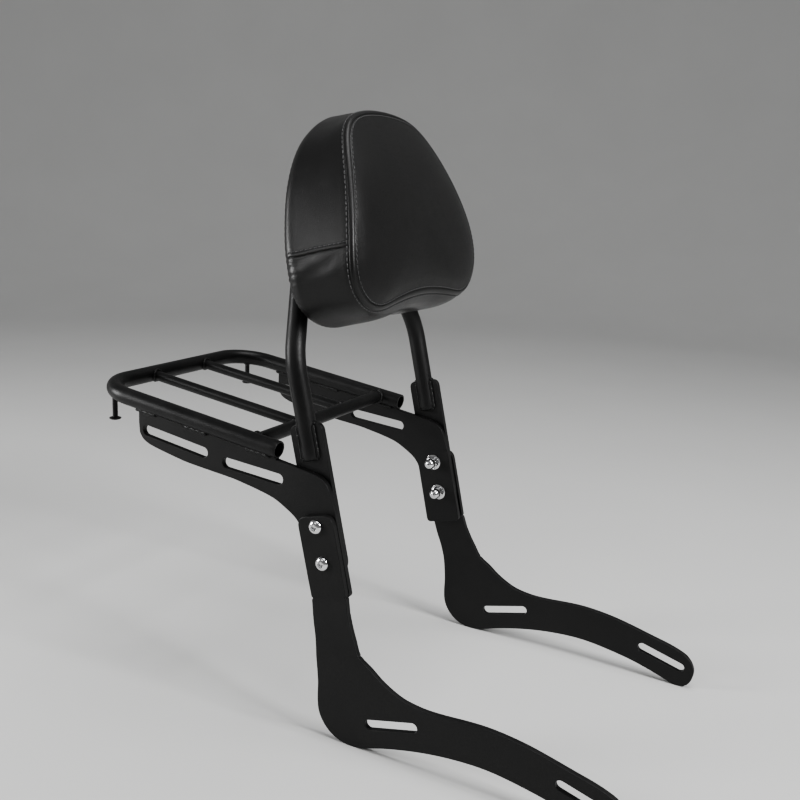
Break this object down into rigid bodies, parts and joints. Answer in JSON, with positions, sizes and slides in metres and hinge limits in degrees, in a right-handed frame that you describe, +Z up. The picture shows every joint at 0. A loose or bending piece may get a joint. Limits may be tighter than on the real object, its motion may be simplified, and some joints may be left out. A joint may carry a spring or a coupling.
{
  "type": "motorcycle backrest with luggage rack",
  "caption": "Detachable passenger backrest: padded bent bar on flat bolted side legs, with a tubular luggage rack reaching out behind it.",
  "frame": {"origin": "midpoint between the centres of the two legs' heel slots, on the object's centre plane", "axes": "+X towards the rider's right, +Y towards the front of the motorcycle, +Z up"},
  "size_m": [0.294, 0.6055, 0.5961],
  "materials": {
    "powder_coat": "textured satin black powder coat",
    "chrome_hardware": "polished",
    "zinc_hardware": "bright zinc",
    "vinyl": "soft-sheen black vinyl",
    "board": "plain black board",
    "foam": "open-cell foam"
  },
  "bodies": {
    "root": {"leg_right": "powder_coat", "leg_left": "powder_coat", "backrest_bar": "powder_coat", "backrest_plate_right": "powder_coat", "backrest_plate_left": "powder_coat", "pad_strap_upper": "powder_coat", "pad_strap_lower": "powder_coat", "pad_board": "board", "pad_foam": "foam", "pad_cover": "vinyl", "pad_screws": "zinc_hardware", "pad_t_nuts": "zinc_hardware", "rack_tube": "powder_coat", "rack_bar_right": "powder_coat", "rack_bar_left": "powder_coat", "rack_crossbar": "powder_coat", "rack_plate_right": "powder_coat", "rack_plate_left": "powder_coat", "tie_post_right": "powder_coat", "tie_post_left": "powder_coat", "side_screws": "chrome_hardware", "nut_washers": "chrome_hardware", "cap_nuts": "chrome_hardware"}
  },
  "joints": []
}
